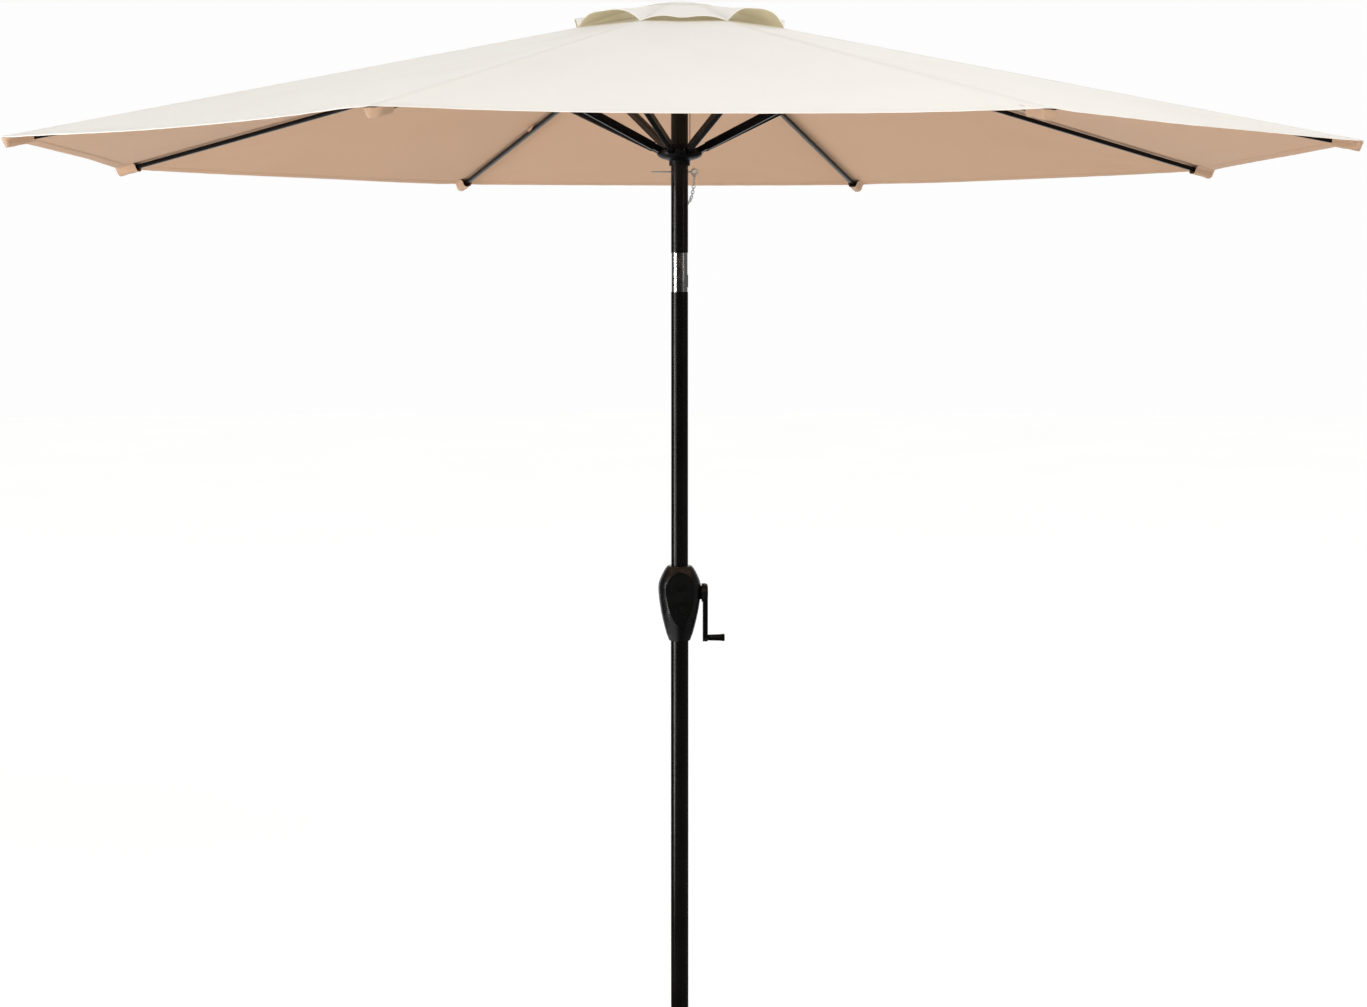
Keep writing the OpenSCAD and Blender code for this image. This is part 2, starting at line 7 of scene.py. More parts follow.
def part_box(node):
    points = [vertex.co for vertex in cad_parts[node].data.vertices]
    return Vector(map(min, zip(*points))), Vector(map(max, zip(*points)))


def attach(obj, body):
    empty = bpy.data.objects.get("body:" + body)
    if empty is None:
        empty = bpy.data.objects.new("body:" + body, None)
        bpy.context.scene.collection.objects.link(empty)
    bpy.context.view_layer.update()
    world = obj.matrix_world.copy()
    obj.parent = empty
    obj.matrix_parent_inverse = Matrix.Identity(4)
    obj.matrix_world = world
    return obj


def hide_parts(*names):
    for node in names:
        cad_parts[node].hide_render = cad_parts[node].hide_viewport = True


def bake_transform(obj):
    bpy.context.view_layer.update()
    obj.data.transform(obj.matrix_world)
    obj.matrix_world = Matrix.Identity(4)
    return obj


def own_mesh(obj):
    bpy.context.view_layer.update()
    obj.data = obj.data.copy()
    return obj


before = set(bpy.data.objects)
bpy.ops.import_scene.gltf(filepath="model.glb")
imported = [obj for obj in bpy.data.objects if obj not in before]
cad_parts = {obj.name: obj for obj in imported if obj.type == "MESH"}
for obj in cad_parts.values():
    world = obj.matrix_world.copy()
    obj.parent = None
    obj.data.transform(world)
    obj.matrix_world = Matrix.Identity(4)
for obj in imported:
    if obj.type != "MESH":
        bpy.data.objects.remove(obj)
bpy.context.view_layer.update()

PI = math.pi

# ---------------------------------------------------------------- measures
# The cloth's shape, as the CAD draws it, in metres. s runs from the axis (0) to the rim (1),
# v from the middle of a gore (0) to a rib (1).
CANOPY_R, RIM_Z, PEAK_Z = 1.450, 2.118, 2.4365
CROWN_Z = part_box("canopy_panel_1")[1].z
HEM_IN, CLOTH_SAG = 0.028, 0.012
# Gores that hang more or less than the rest, by direction in degrees
GORE_SAG = {-90: 0.0150, -45: 0.0060}
FLAP_R, VENT_R = 0.240, 0.120
HALF = math.radians(22.5)
SLOPE = math.atan((PEAK_Z - RIM_Z) / CANOPY_R)
GORE_SLOPE = math.atan((PEAK_Z - RIM_Z) / (CANOPY_R * math.cos(HALF)))
GORE_LEN = CANOPY_R * math.cos(HALF) / math.cos(GORE_SLOPE)
HALF_RIM = CANOPY_R * math.sin(HALF)
RIBS = range(1, 9)
HUB_PIVOT_R = 0.030
HUB_PIVOT_Z = PEAK_Z - HUB_PIVOT_R * math.tan(SLOPE) - 0.012

CLOTH_T = 0.0008
HEM_W, HEM_T = 0.026, 0.0007
SEAM_W, SEAM_T = 0.010, 0.0007


def rib_angle(i):
    return HALF + (i - 1) * PI / 4


def gore_degrees(i, side):
    """The direction of the gore beside rib i, in degrees above -180 and up to 180."""
    return 180 - (180 - round(math.degrees(rib_angle(i) + side * HALF))) % 360


def turned(p, a):
    """The point p turned round the axis by the angle a."""
    return Vector((p[0] * math.cos(a) - p[1] * math.sin(a), p[0] * math.sin(a) + p[1] * math.cos(a), p[2]))


def smooth(a, b, x):
    """0 before a, 1 after b, and an even curve in between."""
    t = min(1.0, max(0.0, (x - a) / (b - a)))
    return t * t * (3 - 2 * t)


# ---------------------------------------------------------------- camera
# Where it stands, how far it turns to the right and down, and its focal length in millimetres
CAMERA_AT, YAW, PITCH, LENS = (-0.208, -5.106, 1.818), math.radians(2.43), math.radians(5.25), 60.52


def make_camera():
    data = bpy.data.cameras.new("camera")
    cam = bpy.data.objects.new("camera", data)
    bpy.context.scene.collection.objects.link(cam)
    data.sensor_fit = "HORIZONTAL"
    data.sensor_width = 36.0
    data.lens = LENS
    data.clip_start, data.clip_end = 0.05, 200.0
    turn = Matrix.Rotation(-YAW, 4, "Z") @ Matrix.Rotation(PI / 2 - PITCH, 4, "X")
    cam.matrix_world = Matrix.Translation(CAMERA_AT) @ turn
    bpy.context.scene.camera = cam


make_camera()


# ---------------------------------------------------------------- node helpers
def link_socket(tree, value, socket):
    """Joins another node's output to the socket, or sets a plain value on it."""
    if hasattr(value, "links"):
        tree.links.new(value, socket)
    elif value is not None:
        if isinstance(value, tuple) and len(value) == 3 and socket.type == "RGBA":
            value = (*value, 1.0)
        socket.default_value = value


class Nodes:
    """A material's node tree, with short calls for the nodes that these materials use."""

    def __init__(self, name):
        self.mat = bpy.data.materials.new(name)
        self.mat.use_nodes = True
        self.tree = self.mat.node_tree
        self.shader = next(n for n in self.tree.nodes if n.type == "BSDF_PRINCIPLED")

    def new(self, kind):
        return self.tree.nodes.new("ShaderNode" + kind)

    def set(self, **sockets):
        for name, value in sockets.items():
            link_socket(self.tree, value, self.shader.inputs[name.replace("_", " ")])

    def coords(self):
        return self.new("TexCoord").outputs["Object"]

    def uv(self, name):
        n = self.new("UVMap")
        n.uv_map = name
        return n.outputs["UV"]

    def mapped(self, vector, scale):
        n = self.new("Mapping")
        self.tree.links.new(vector, n.inputs["Vector"])
        n.inputs["Scale"].default_value = scale
        return n.outputs["Vector"]

    def noise(self, vector, scale, detail=2.0, rough=0.5):
        n = self.new("TexNoise")
        self.tree.links.new(vector, n.inputs["Vector"])
        n.inputs["Scale"].default_value = scale
        n.inputs["Detail"].default_value = detail
        n.inputs["Roughness"].default_value = rough
        return n.outputs["Fac"]

    def voronoi(self, vector, scale):
        n = self.new("TexVoronoi")
        self.tree.links.new(vector, n.inputs["Vector"])
        n.inputs["Scale"].default_value = scale
        return n.outputs["Distance"]

    def split(self, vector):
        n = self.new("SeparateXYZ")
        self.tree.links.new(vector, n.inputs[0])
        return n.outputs

    def math(self, op, a, b=None):
        n = self.new("Math")
        n.operation = op
        for k, x in enumerate((a, b)):
            if x is not None:
                link_socket(self.tree, x, n.inputs[k])
        return n.outputs[0]

    def ramp(self, value, low, high, out_low=0.0, out_high=1.0):
        n = self.new("MapRange")
        n.interpolation_type = "SMOOTHSTEP"
        link_socket(self.tree, value, n.inputs["Value"])
        for end, x in (("From Min", low), ("From Max", high), ("To Min", out_low), ("To Max", out_high)):
            n.inputs[end].default_value = x
        return n.outputs["Result"]

    def mix(self, fac, a, b):
        n = self.new("Mix")
        n.data_type = "RGBA"
        link_socket(self.tree, fac, n.inputs["Factor"])
        link_socket(self.tree, a, n.inputs[6])
        link_socket(self.tree, b, n.inputs[7])
        return n.outputs[2]

    def bump(self, height, distance, strength=1.0, under=None):
        n = self.new("Bump")
        self.tree.links.new(height, n.inputs["Height"])
        n.inputs["Distance"].default_value = distance
        n.inputs["Strength"].default_value = strength
        if under is not None:
            self.tree.links.new(under, n.inputs["Normal"])
        return n.outputs["Normal"]


# ---------------------------------------------------------------- materials
def painted_metal(name, colour, worn, rough, spec, peel, dust):
    """Powder coat or paint on a metal tube: orange peel, faint drawn scratches, wear on edges."""
    m = Nodes(name)
    at = m.coords()
    cloudy = m.noise(at, 7.0, 3.0)
    fine = m.noise(at, 900.0, 2.0)
    scratch = m.noise(m.mapped(at, (420.0, 420.0, 9.0)), 1.0, 4.0, 0.7)
    edge = m.ramp(m.new("NewGeometry").outputs["Pointiness"], 0.64, 0.76)
    tint = m.mix(m.ramp(cloudy, 0.35, 0.7), colour, tuple(c * dust for c in colour))
    m.set(Base_Color=m.mix(m.math("MULTIPLY", edge, 0.35), tint, worn))
    drawn = m.ramp(scratch, 0.45, 0.8, -0.03, 0.10)
    m.set(Roughness=m.math("ADD", drawn, m.ramp(cloudy, 0.3, 0.7, rough - 0.03, rough + 0.04)))
    m.set(Specular_IOR_Level=spec)
    m.set(Normal=m.bump(fine, peel, 0.35, m.bump(scratch, 0.00002, 0.3)))
    return m.mat


def bright_metal(name, colour, rough, brushed, plated=1.0):
    """Plated or bare metal: brushed lines, finger smears and small pits."""
    m = Nodes(name)
    at = m.coords()
    lines = m.noise(m.mapped(at, (900.0, 900.0, 14.0)), 1.0, 3.0, 0.6)
    smear = m.noise(at, 38.0, 3.0, 0.6)
    pits = m.voronoi(at, 420.0)
    tint = m.mix(m.ramp(smear, 0.4, 0.75, 0.0, 0.5), colour, tuple(c * 0.86 for c in colour))
    tint = m.mix(m.ramp(pits, 0.10, 0.02, 0.0, 0.35), tint, (0.18, 0.16, 0.14))
    m.set(Base_Color=tint, Metallic=plated)
    drawn = m.ramp(lines, 0.4, 0.7, 0.0, 0.05)
    m.set(Roughness=m.math("ADD", m.ramp(smear, 0.35, 0.7, rough, rough + 0.10), drawn))
    m.set(Normal=m.bump(lines, 0.00003, brushed))
    return m.mat


def moulded_plastic(name, colour, rough, grain, spec=0.5):
    """Moulded plastic: spark-eroded grain, slight cloudiness, rubbed edges and a little dust."""
    m = Nodes(name)
    at = m.coords()
    cells = m.voronoi(at, 1500.0)
    fine = m.noise(at, 2400.0, 2.0)
    cloudy = m.noise(at, 30.0, 3.0)
    edge = m.ramp(m.new("NewGeometry").outputs["Pointiness"], 0.53, 0.62)
    rubbed = tuple(min(1.0, c * 2.2 + 0.01) for c in colour)
    tint = m.mix(m.ramp(cloudy, 0.4, 0.75, 0.0, 0.6), colour, tuple(c * 1.35 for c in colour))
    m.set(Base_Color=m.mix(m.math("MULTIPLY", edge, 0.4), tint, rubbed))
    m.set(Roughness=m.ramp(cloudy, 0.3, 0.7, rough - 0.04, rough + 0.06), Specular_IOR_Level=spec)
    m.set(Normal=m.bump(fine, 0.00004, grain, m.bump(cells, 0.00005, grain)))
    return m.mat


# The weave's pitch, a stitch's length and the share of it that shows, and each row's distance from its edge
WEAVE, STITCH, STITCH_SHOWN = 0.0011, 0.0042, 0.68
HEM_ROW, SEAM_ROWS = 0.0235, (0.0078, 0.0032)


def cloth(name, warp, weft, thread, dark_tone, glow=0.0):
    """Plain-woven polyester on two maps in metres. "cloth" is (across the gore, in from the rim);
    "seam" is (along the rib, away from the rib)."""
    m = Nodes(name)
    uv, seam = m.uv("cloth"), m.uv("seam")
    u, inward = m.split(uv)[0], m.split(uv)[1]
    along, away = m.split(seam)[0], m.split(seam)[1]
    over = m.math("SINE", m.math("MULTIPLY", u, 2 * PI / WEAVE))
    under = m.math("SINE", m.math("MULTIPLY", inward, 2 * PI / WEAVE))
    weave = m.math("MULTIPLY", over, under)
    slub_u = m.noise(m.mapped(uv, (900.0, 14.0, 1.0)), 1.0, 2.0)
    slub_v = m.noise(m.mapped(uv, (14.0, 900.0, 1.0)), 1.0, 2.0)
    cloudy = m.noise(uv, 2.3, 4.0, 0.55)
    base = m.mix(m.ramp(weave, -0.9, 0.9), warp, weft)
    base = m.mix(m.ramp(m.math("ADD", slub_u, slub_v), 0.75, 1.25, 0.0, 0.16), base, dark_tone)
    base = m.mix(m.ramp(cloudy, 0.42, 0.75, 0.0, 0.22), base, dark_tone)

    def stitches(run, across, where):
        """A row of lock stitches at the distance `where` from the edge."""
        dash = m.math("LESS_THAN", m.math("FRACT", m.math("DIVIDE", run, STITCH)), STITCH_SHOWN)
        near = m.ramp(m.math("ABSOLUTE", m.math("SUBTRACT", across, where)), 0.0008, 0.0004)
        return m.math("MULTIPLY", dash, near)

    rows = stitches(u, inward, HEM_ROW)
    for where in SEAM_ROWS:
        rows = m.math("MAXIMUM", rows, stitches(along, away, where))
    # the cloth turns darker along the hem and along the seam allowance beside each rib
    hem_seam_dark = m.math("MULTIPLY", m.ramp(inward, 0.034, 0.0, 0.0, 0.30), m.ramp(m.noise(uv, 14.0, 3.0), 0.35, 0.7))
    hem_seam_dark = m.math("MAXIMUM", hem_seam_dark, m.ramp(away, 0.013, 0.0095, 0.0, 0.16))
    base = m.mix(hem_seam_dark, base, dark_tone)
    m.set(Base_Color=m.mix(rows, base, thread))
    m.set(Roughness=m.ramp(weave, -1.0, 1.0, 0.78, 0.90), Specular_IOR_Level=0.25)
    m.set(Sheen_Weight=0.12, Sheen_Roughness=0.5)
    if glow:
        # painted glow: emission that stands in for daylight coming through the thin cloth
        m.set(Emission_Color=base, Emission_Strength=glow)
    pucker = m.noise(m.mapped(seam, (160.0, 60.0, 1.0)), 1.0, 2.0)
    close = m.ramp(m.math("MINIMUM", away, inward), 0.05, 0.0)
    relief = m.bump(m.math("MULTIPLY", pucker, close), 0.0012, 0.5)
    relief = m.bump(weave, 0.00012, 0.5, relief)
    m.set(Normal=m.bump(rows, 0.0005, 0.8, relief))
    return m.mat


def twisted_cord(name, colour, dark):
    """Thin braided polyester line: two crossed sets of helical strands."""
    m = Nodes(name)
    at = m.split(m.coords())
    turn = m.math("ARCTAN2", at[1], at[0])
    rise, wind = m.math("MULTIPLY", at[2], 1900.0), m.math("MULTIPLY", turn, 40.0)
    left = m.math("SINE", m.math("ADD", rise, wind))
    right = m.math("SINE", m.math("SUBTRACT", rise, wind))
    strand = m.math("MAXIMUM", left, right)
    fuzz = m.noise(m.coords(), 1800.0, 2.0)
    m.set(Base_Color=m.mix(m.ramp(strand, -0.4, 0.9), dark, m.mix(m.ramp(fuzz, 0.4, 0.7), colour, dark)))
    m.set(Roughness=0.85)
    m.set(Normal=m.bump(strand, 0.00015, 0.8))
    return m.mat


POLE = painted_metal("pole_powder_coat", (0.0030, 0.0025, 0.0020), (0.050, 0.042, 0.032), 0.20, 0.20,
                     0.00002, 1.4)
RIB = painted_metal("rib_paint", (0.0022, 0.0022, 0.0024), (0.060, 0.060, 0.060), 0.22, 0.16, 0.00002, 1.4)
CHROME = bright_metal("chrome", (0.62, 0.61, 0.60), 0.09, 0.12)
STEEL = bright_metal("zinc_steel", (0.60, 0.60, 0.585), 0.30, 0.35, plated=0.55)
HOUSING = moulded_plastic("housing_plastic", (0.0022, 0.0021, 0.0020), 0.27, 0.20, 0.50)
RUNNER = moulded_plastic("runner_plastic", (0.0026, 0.0026, 0.0028), 0.36, 0.35, 0.14)
FITTING = moulded_plastic("fitting_plastic", (0.0035, 0.0035, 0.0036), 0.42, 0.45, 0.2)
CRANK = moulded_plastic("crank_plastic", (0.0022, 0.0022, 0.0022), 0.36, 0.30, 0.14)
NYLON = moulded_plastic("nylon", (0.62, 0.60, 0.54), 0.42, 0.20)
CORD = twisted_cord("lift_cord", (0.16, 0.155, 0.145), (0.03, 0.03, 0.028))
TOP = cloth("canopy_top", (0.868, 0.842, 0.798), (0.832, 0.806, 0.760), (0.79, 0.76, 0.70), (0.74, 0.70, 0.63))
# painted shade: the underside is the cream cloth given a darker tan, as it lies in shade
SHADED_UNDERSIDE = cloth("canopy_underside_painted_shade", (0.458, 0.284, 0.170), (0.424, 0.259, 0.152), (0.41, 0.25, 0.16),
              (0.39, 0.24, 0.15))
# painted shade and glow: the flap's underside is the cream cloth given a khaki tone for its shade, with a
# painted glow
VENT_SHADE_AND_GLOW = cloth("vent_underside_painted_shade_glow", (0.560, 0.500, 0.345), (0.520, 0.460, 0.310), (0.44, 0.39, 0.27),
                   (0.42, 0.37, 0.24), glow=0.42)
# painted shade: the pockets and the tie tab are the cream cloth given a darker tan, as they hang in shade
SHADED_POCKET = cloth("pocket_cloth_painted_shade", (0.455, 0.300, 0.195), (0.420, 0.272, 0.175), (0.36, 0.23, 0.15),
               (0.34, 0.22, 0.14))

NODE_MATERIALS = {
    "pole_lower": POLE, "pole_middle": POLE, "pole_upper": POLE, "pole_foot_plug": FITTING,
    "crank_housing_front": HOUSING, "crank_housing_rear": HOUSING, "housing_screws": STEEL,
    "tilt_sleeve": CHROME, "tilt_pin": STEEL, "tilt_knuckle": STEEL, "tilt_button": FITTING,
    "lift_cord_lower": CORD, "lift_cord_upper": CORD, "lift_cord_drop": CORD,
    "crank_axle": STEEL, "cord_drum": NYLON, "crank_arm": CRANK, "grip_pin": STEEL, "crank_grip": CRANK,
    "top_hub": RUNNER, "hub_cap": RUNNER, "hub_pins": STEEL, "top_pulley": NYLON, "pulley_pin": STEEL,
    "runner": RUNNER, "lock_pin": STEEL, "pin_ring": STEEL, "pin_chain": STEEL,
}
for i in RIBS:
    NODE_MATERIALS[f"rib_{i}"] = RIB
    NODE_MATERIALS[f"rib_fittings_{i}"] = FITTING
    NODE_MATERIALS[f"strut_{i}"] = RIB
    NODE_MATERIALS[f"canopy_panel_{i}"] = TOP

for name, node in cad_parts.items():
    node.data.materials.clear()
    node.data.materials.append(NODE_MATERIALS[name])


# ---------------------------------------------------------------- mesh helper
def add_piece(name, points, faces, materials, indices=None, maps=None, sharp=()):
    """An object from points, faces and a value of each map per point; sharp lists the edges to keep crisp."""
    mesh = bpy.data.meshes.new(name)
    mesh.from_pydata([tuple(p) for p in points], [], faces)
    for mat in materials:
        mesh.materials.append(mat)
    if indices:
        mesh.polygons.foreach_set("material_index", indices)
    mesh.polygons.foreach_set("use_smooth", [True] * len(faces))
    for key, values in (maps or {}).items():
        layer = mesh.uv_layers.new(name=key)
        for loop in mesh.loops:
            layer.data[loop.index].uv = values[loop.vertex_index]
    if sharp:
        wanted = {frozenset(e) for e in sharp}
        for e in mesh.edges:
            if frozenset(e.vertices) in wanted:
                e.use_edge_sharp = True
    mesh.validate()
    mesh.update()
    obj = bpy.data.objects.new(name, mesh)
    bpy.context.scene.collection.objects.link(obj)
    return obj


def cloth_piece(name, grid_top, grid_under, maps, materials, side):
    """A closed sheet of cloth from two equal grids of points, rows by columns: top, underside and four rims."""
    m, n = len(grid_top), len(grid_top[0])
    points = [p for row in grid_top for p in row] + [p for row in grid_under for p in row]
    k = m * n
    faces, indices = [], []

    def quad(a, b, c, d, index):
        faces.append((a, b, c, d) if side > 0 else (d, c, b, a))
        indices.append(index)

    for i in range(m - 1):
        for j in range(n - 1):
            a = i * n + j
            quad(a, a + n, a + n + 1, a + 1, 0)
            quad(k + a, k + a + 1, k + a + n + 1, k + a + n, 1)
    rims = []
    for j in range(n - 1):
        last = (m - 1) * n + j
        quad(j, j + 1, k + j + 1, k + j, 0)
        quad(last + 1, last, k + last, k + last + 1, 0)
        rims += [(j, j + 1), (k + j, k + j + 1), (last, last + 1), (k + last, k + last + 1)]
    for i in range(m - 1):
        a, b = i * n, i * n + n - 1
        quad(a + n, a, k + a, k + a + n, 0)
        quad(b, b + n, k + b + n, k + b, 0)
        rims += [(a, a + n), (k + a, k + a + n), (b, b + n), (k + b, k + b + n)]
    both = {key: values + values for key, values in maps.items()}
    return add_piece(name, points, faces, materials, indices, both, rims)


# ---------------------------------------------------------------- canopy
def gore_point(s, v, lift, wave, sag):
    """A point of the main cloth in the gore's own frame, +X along its middle. lift and wave follow its normal,
    and sag is how far the gore's middle hangs at the rim."""
    a = GORE_LEN * s - HEM_IN * (1 - v * v) * s ** 4
    d = lift + wave - sag * (1 - v * v) * s * s
    return (a * math.cos(GORE_SLOPE) + d * math.sin(GORE_SLOPE), v * s * HALF_RIM,
            PEAK_Z - a * math.sin(GORE_SLOPE) + d * math.cos(GORE_SLOPE))


def gore_wave(i, side, s, v, place):
    """Tension folds from the corners, puckers along the seams and hem, and a broad unevenness."""
    away = (1 - v) * s * HALF_RIM
    inward = (1 - s) * GORE_LEN
    run = s * GORE_LEN
    phase = 1.7 * i + 0.6 * side
    seam = 0.0006 * math.exp(-away / 0.035) * math.sin(2 * PI * run / 0.062 + phase)
    seam += 0.0004 * math.exp(-away / 0.05) * math.sin(2 * PI * run / 0.147 + 2.1 * phase)
    seam *= smooth(0.0, 0.012, away)
    hem = 0.0002 * math.exp(-inward / 0.045) * math.sin(2 * PI * v * HALF_RIM / 0.081 + phase)
    hem *= smooth(0.0, 0.15, v)
    corner = math.hypot(away, inward)
    fan = math.atan2(inward, max(away, 1e-6))
    folds = 0.0014 * math.exp(-corner / 0.30) * math.sin(11 * fan + 0.8 * phase) * smooth(0.0, 0.10, corner)
    folds *= smooth(0.0, 0.5, v) * smooth(0.0, 0.03, away)
    broad = 0.0016 * noise.noise(place * 3.1) * smooth(0.0, 0.06, away)
    return seam + hem + folds + broad * smooth(0.02, 0.2, s)


def beside_rib(p, i, side):
    """A point of a gore's own frame, put in its place beside rib i."""
    return turned((p[0], -side * p[1], p[2]), rib_angle(i) + side * HALF)


# The rows' places from the vent to the rim, closer across the hem
S0 = VENT_R / CANOPY_R
ROWS = [S0 + (1 - HEM_W / GORE_LEN - 0.004 - S0) * (k / 44) ** 0.92 for k in range(45)]
ROWS += [1 - x / GORE_LEN for x in (HEM_W + 0.0006, HEM_W - 0.0006, 0.020, 0.0135, 0.007, 0.002, 0.0)]


def columns(s):
    """v of each column of a row: even from the middle to the seam's allowance, then across the allowance."""
    half = s * HALF_RIM
    edge = 1 - min(0.4, (SEAM_W + 0.0006) / half)
    out = [edge * (k / 20) for k in range(21)]
    return out + [1 - min(0.39, (SEAM_W - 0.0006) / half), 1 - min(0.25, 0.005 / half), 1.0]


def half_gore(i, side):
    """The half of a gore beside rib i: its cloth, the hem's and the seam's extra layers, and its sag."""
    top, under, cloth_map, seam_map = [], [], [], []
    sag = GORE_SAG.get(gore_degrees(i, side), CLOTH_SAG)
    for s in ROWS:
        row_top, row_under = [], []
        inward = (1 - s) * GORE_LEN
        for v in columns(s):
            away = (1 - v) * s * HALF_RIM
            place = beside_rib(gore_point(s, v, 0, 0, sag), i, side)
            wave = gore_wave(i, side, s, v, place)
            thick = HEM_T * (inward < HEM_W) * smooth(-0.001, 0.0015, inward)
            thick = max(thick, SEAM_T * (away < SEAM_W))
            if inward < 0.001:
                thick = 0.0
            row_top.append(beside_rib(gore_point(s, v, thick, wave, sag), i, side))
            row_under.append(beside_rib(gore_point(s, v, -CLOTH_T - thick, wave, sag), i, side))
            cloth_map.append((-side * v * s * HALF_RIM + 3.0 * i, inward))
            seam_map.append((s * GORE_LEN, away))
        top.append(row_top)
        under.append(row_under)
    name = f"canopy_gore_{i}_{'left' if side > 0 else 'right'}"
    # the gore's underside takes the tan copy of the cloth, painted shade
    return cloth_piece(name, top, under, {"cloth": cloth_map, "seam": seam_map}, [TOP, SHADED_UNDERSIDE], side)


def rib_place(i, along, lift=0.0):
    """A point on a rib's cloth line, `along` metres from the axis and `lift` above the line."""
    return turned((along * math.cos(SLOPE) + lift * math.sin(SLOPE), 0,
                   PEAK_Z - along * math.sin(SLOPE) + lift * math.cos(SLOPE)), rib_angle(i))


for i in RIBS:
    for side in (-1, 1):
        piece = half_gore(i, side)
        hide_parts(f"canopy_panel_{i}")
        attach(piece, f"rib_{i}")
        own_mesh(piece)


# ---------------------------------------------------------------- vent flap
# The height at which the flap is tacked down over a rib
TACK_Z = PEAK_Z - FLAP_R * math.tan(SLOPE) + 0.001
# Each gore's arch at the flap's edge, by the gore's direction in degrees: its height and the dip in its middle
ARCHES = {-90: (0.0125, 0.45), -45: (0.0335, 0.0), -135: (0.0290, 0.0), 0: (0.026, 0.1), 180: (0.027, 0.05),
          45: (0.024, 0.0), 135: (0.025, 0.1), 90: (0.022, 0.15)}


def flap_point(s, v, lift, gore):
    """A point of the flap in the gore's own frame; it arches up from the ribs at its edge."""
    height, dip = ARCHES[gore]
    arch = height * s ** 2.4 * (1 - abs(v) ** 3.2) * (1 - dip * math.exp(-(v / 0.42) ** 2))
    r = s * FLAP_R
    z = TACK_Z + (CROWN_Z - TACK_Z) * (1 - s ** 1.45) + arch + lift
    return (r * math.cos(HALF) + 0.008 * s ** 4 * (1 - v * v), v * r * math.sin(HALF), z)


def flap_grid(i, side, rows, cols, lift):
    """The two grids and the maps of half a flap gore, or of the crown patch `lift` above it."""
    top, under, cloth_map, seam_map = [], [], [], []
    gore = gore_degrees(i, side)
    for s in rows:
        row_top, row_under = [], []
        inward = (1 - s) * FLAP_R
        for v in cols:
            away = (1 - v) * s * FLAP_R * math.sin(HALF)
            place = beside_rib(flap_point(s, v, 0, gore), i, side)
            wave = 0.0016 * noise.noise(place * 22) * smooth(0.0, 0.02, away) * smooth(0.25, 0.6, s)
            thick = 0.0005 * (0.0008 < inward < 0.012)
            row_top.append(beside_rib(flap_point(s, v, lift + wave + thick, gore), i, side))
            row_under.append(beside_rib(flap_point(s, v, lift + wave - CLOTH_T - thick, gore), i, side))
            cloth_map.append((-side * v * s * FLAP_R * math.sin(HALF) + 0.5 * i, inward + 0.0115))
            seam_map.append((s * FLAP_R, away))
        top.append(row_top)
        under.append(row_under)
    return top, under, {"cloth": cloth_map, "seam": seam_map}


FLAP_S0, CROWN_S1 = 0.26, 0.34
FLAP_ROWS = [FLAP_S0 + (0.945 - FLAP_S0) * k / 15 for k in range(16)] + [0.949, 0.953, 0.97, 0.985, 0.996, 1.0]
CROWN_ROWS = [0.012 + (CROWN_S1 - 0.012) * k / 14 for k in range(15)]
FLAP_COLS = [k / 14 for k in range(15)]

for i in RIBS:
    for side in (-1, 1):
        end = "left" if side > 0 else "right"
        top, under, maps = flap_grid(i, side, FLAP_ROWS, FLAP_COLS, 0.0)
        # the flap's underside takes the khaki copy with painted shade and glow
        piece = cloth_piece(f"vent_flap_{i}_{end}", top, under, maps, [TOP, VENT_SHADE_AND_GLOW], side)
        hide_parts(f"canopy_panel_{i}")
        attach(piece, f"rib_{i}")
        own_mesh(piece)

        top, under, maps = flap_grid(i, side, CROWN_ROWS, FLAP_COLS, 0.0016)
        # the crown patch's underside takes the same khaki copy with painted shade and glow
        piece = cloth_piece(f"crown_patch_{i}_{end}", top, under, maps, [TOP, VENT_SHADE_AND_GLOW], side)
        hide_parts(f"canopy_panel_{i}")
        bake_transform(piece)


# ---------------------------------------------------------------- rib-end pockets
def pocket(i):
    """The sleeve of cloth under a corner that holds the rib's end, sewn on with a flange on each side."""
    length, sleeve = 0.060, 0.0125
    outline = [(-0.0265, -0.0012), (-0.0225, -0.0016), (-0.0170, -0.0032), (-0.0135, -0.0075),
               (-0.0118, -0.0130), (-0.0100, -0.0176), (-0.0060, -0.0200), (0.0, -0.0206)]
    outline += [(-y, z) for y, z in reversed(outline[:-1])]
    steps = [0.92 * k / 11 for k in range(12)] + [0.935, 0.95, 0.965, 0.98, 0.992, 1.0]
    inner, outer, cloth_map, seam_map = [], [], [], []
    rim = CANOPY_R / math.cos(SLOPE)
    for t in steps:
        close = 1 - smooth(0.925, 1.0, t) * 0.93
        mouth = 1 + 0.07 * (1 - smooth(0.0, 0.12, t))
        row_inner, row_outer = [], []
        for y, z in outline:
            # the outer end follows the rim, which draws back on each side of the corner
            start = rim - length
            end = rim - 0.0005 - abs(y) * 0.22 - 0.0058 * smooth(sleeve, 0.018, abs(y))
            end -= 0.28 * max(0.0, abs(y) - sleeve)
            along = start + (end - start) * t
            sway = 0.0005 * math.sin(9 * t + 300 * y + i) * (z < -0.004)
            deep = z * close * (mouth if z < -0.004 else 1.0)
            # the flange follows the two gores, which fall away on each side of the rib
            fall = -abs(y) * 0.048 - 0.0018
            for row, inset in ((row_inner, 0.96), (row_outer, 1.0)):
                p = turned((0, y * inset, 0), rib_angle(i))
                row.append(rib_place(i, along, deep * inset + fall + sway) + p)
            cloth_map.append((y + 0.3 * i, 0.0118 + (1 - t) * length))
            seam_map.append((t * length, 0.0120))
        inner.append(row_inner)
        outer.append(row_outer)
    maps = {"cloth": cloth_map, "seam": seam_map}
    # both faces take the tan copy of the cloth, painted shade
    return cloth_piece(f"rib_pocket_{i}", outer, inner, maps, [SHADED_POCKET, SHADED_POCKET], -1)


for i in RIBS:
    piece = pocket(i)
    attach(piece, f"rib_{i}")


